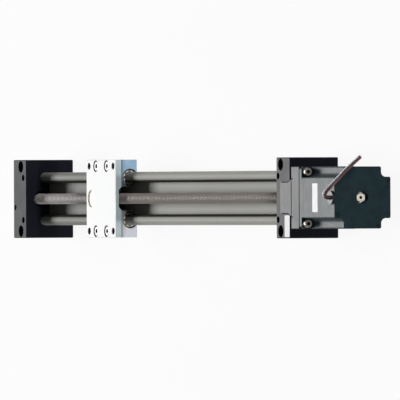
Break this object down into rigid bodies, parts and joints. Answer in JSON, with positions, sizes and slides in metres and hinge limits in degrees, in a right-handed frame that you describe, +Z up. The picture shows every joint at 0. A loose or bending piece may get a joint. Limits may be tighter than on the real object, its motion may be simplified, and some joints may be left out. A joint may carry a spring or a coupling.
{
  "type": "screw driven linear axis",
  "caption": "Linear axis: a slotted-liner carriage on a twin-rail extrusion between two end blocks, moved by a lead screw and an in-line stepper motor.",
  "frame": {"origin": "middle of the four base bolts, on the plane that both end blocks stand on", "axes": "+X along the travel towards the motor, +Y across, +Z up through the carriage top"},
  "size_m": [0.7504, 0.0755, 0.071],
  "materials": {
    "black_anodised": "satin black anodised",
    "rail_anodised": "hard anodised, drawn",
    "clear_anodised": "clear anodised, milled",
    "liner_polymer": "moulded, low friction",
    "screw_steel": "rolled thread",
    "bright_steel": "ground",
    "black_steel": "black oxide",
    "hub_aluminium": "turned",
    "spider_rubber": "moulded",
    "motor_grey": "satin dark teal",
    "motor_rear": "matt dark teal",
    "rotor_iron": "machined",
    "copper_enamel": "enamelled wire",
    "ivory_plastic": "moulded",
    "black_rubber": "moulded",
    "white_insulation": "extruded",
    "blue_insulation": "extruded",
    "red_insulation": "extruded",
    "black_insulation": "extruded"
  },
  "bodies": {
    "frame": {"idle_block": "black_anodised", "drive_block": "black_anodised", "twin_rail": "rail_anodised", "rail_clamp_screws": "black_steel", "bearing_set_screw": "black_steel", "idle_bearing_outer_ring": "bright_steel", "drive_bearing_outer_rings": "bright_steel", "motor_adapter": "black_anodised", "adapter_screws": "black_steel", "motor_front_bell": "motor_grey", "motor_stator": "motor_grey", "motor_coils": "copper_enamel", "motor_rear_bell": "motor_rear", "motor_bearing_outer_rings": "bright_steel", "motor_mount_screws": "bright_steel", "motor_mount_washers": "bright_steel", "motor_body_screws": "black_steel", "lead_grommet": "black_rubber", "lead_white": "white_insulation", "lead_blue": "blue_insulation", "lead_red": "red_insulation", "lead_black": "black_insulation"},
    "carriage": {"carriage_plate": "clear_anodised", "bearing_block_left": "clear_anodised", "bearing_block_right": "clear_anodised", "liners_left": "liner_polymer", "liners_right": "liner_polymer", "carriage_screws": "black_steel", "screw_nut": "liner_polymer"},
    "spindle": {"lead_screw": "screw_steel", "idle_bearing_inner_ring": "bright_steel", "drive_bearing_inner_rings": "bright_steel", "screw_lock_nut": "black_steel", "coupling_hub_screw_side": "hub_aluminium", "coupling_hub_motor_side": "hub_aluminium", "coupling_spider": "spider_rubber", "coupling_set_screws": "black_steel", "motor_shaft": "bright_steel", "motor_rotor": "rotor_iron", "motor_bearing_inner_rings": "bright_steel", "shaft_hex": "ivory_plastic"},
    "ball_cages": {"idle_bearing_balls": "bright_steel", "drive_bearing_balls": "bright_steel", "motor_bearing_balls": "bright_steel"}
  },
  "joints": [
    {"name": "carriage_slide", "type": "slide", "parent": "frame", "child": "carriage", "axis": [1, 0, 0], "range_m": [-0.123, 0.358]},
    {"name": "screw_spin", "type": "hinge", "parent": "frame", "child": "spindle", "pos_m": [0, 0, 0.0335], "axis": [1, 0, 0], "continuous": true},
    {"name": "ball_cage_spin", "type": "hinge", "parent": "frame", "child": "ball_cages", "pos_m": [0, 0, 0.0335], "axis": [1, 0, 0], "continuous": true}
  ],
  "couplings": [
    {"joint": "screw_spin", "follows": "carriage_slide", "rad_per_m": -523.6},
    {"joint": "ball_cage_spin", "follows": "carriage_slide", "rad_per_m": -193.73}
  ]
}
